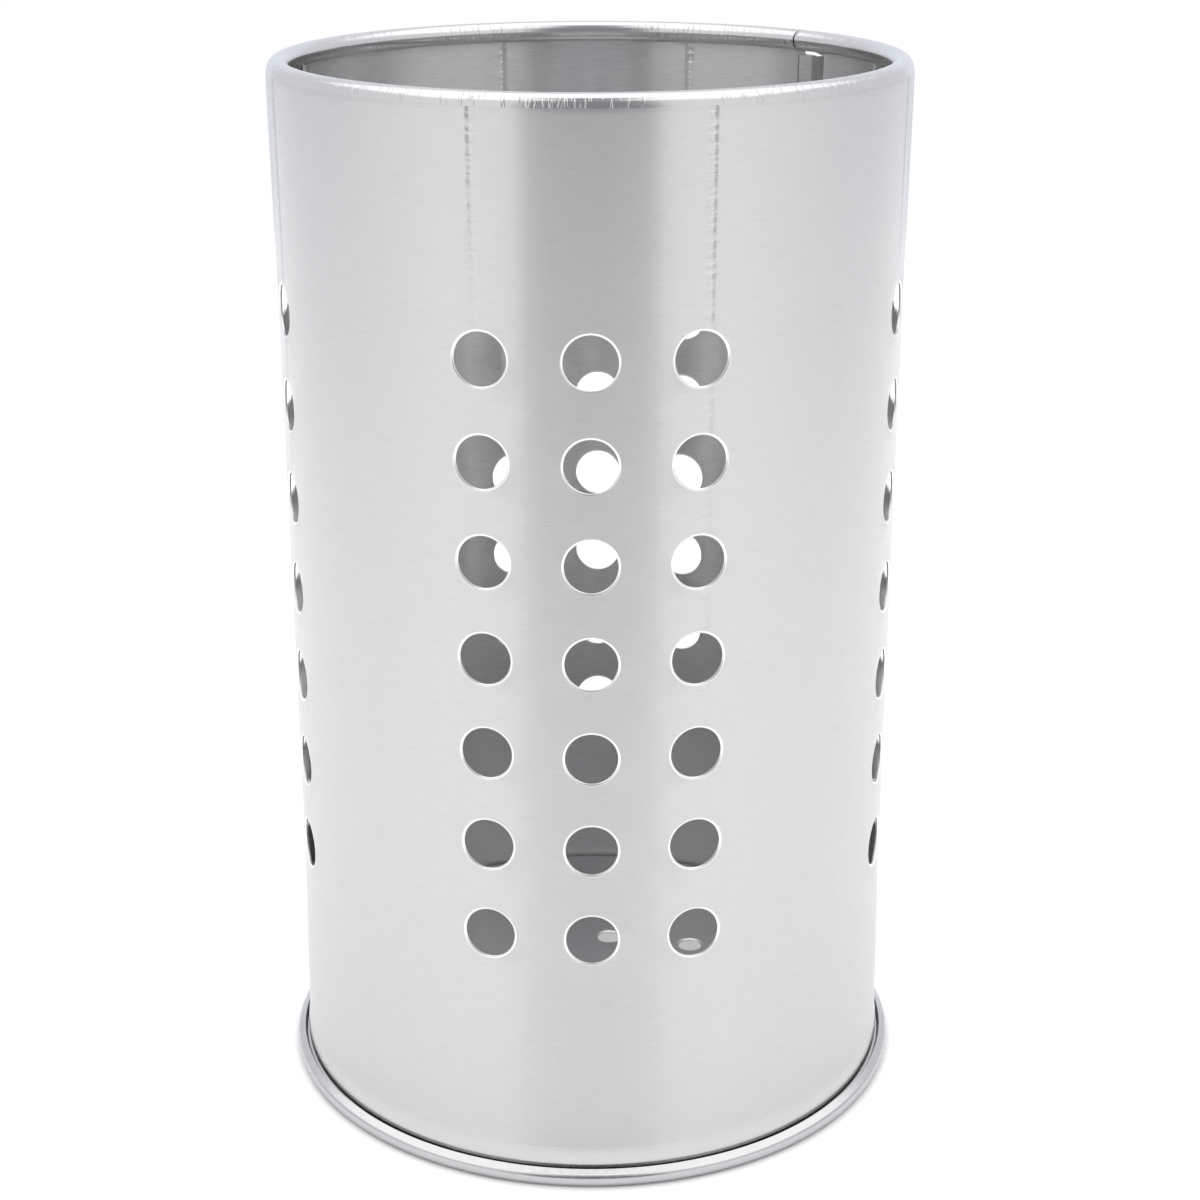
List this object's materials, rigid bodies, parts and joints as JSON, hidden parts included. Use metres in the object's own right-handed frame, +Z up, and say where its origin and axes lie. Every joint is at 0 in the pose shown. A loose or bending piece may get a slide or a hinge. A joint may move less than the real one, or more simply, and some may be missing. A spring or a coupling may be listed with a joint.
{
  "type": "cutlery holder",
  "caption": "Tall open steel cylinder for standing cutlery or utensils in, with punched hole groups, a curled rim and a hemmed base.",
  "frame": {"origin": "centre of the foot's rest plane, on the holder's axis", "axes": "+Z up out of the mouth; -Y is the front, through the middle column of one group of holes; +X to the right seen from the front"},
  "size_m": [0.1108, 0.1108, 0.18],
  "materials": {
    "wall_steel": "fine brushed satin, grain running round the tube",
    "pan_steel": "plain satin sheet"
  },
  "bodies": {
    "root": {"body_wall": "wall_steel", "base_pan": "pan_steel"}
  },
  "joints": []
}
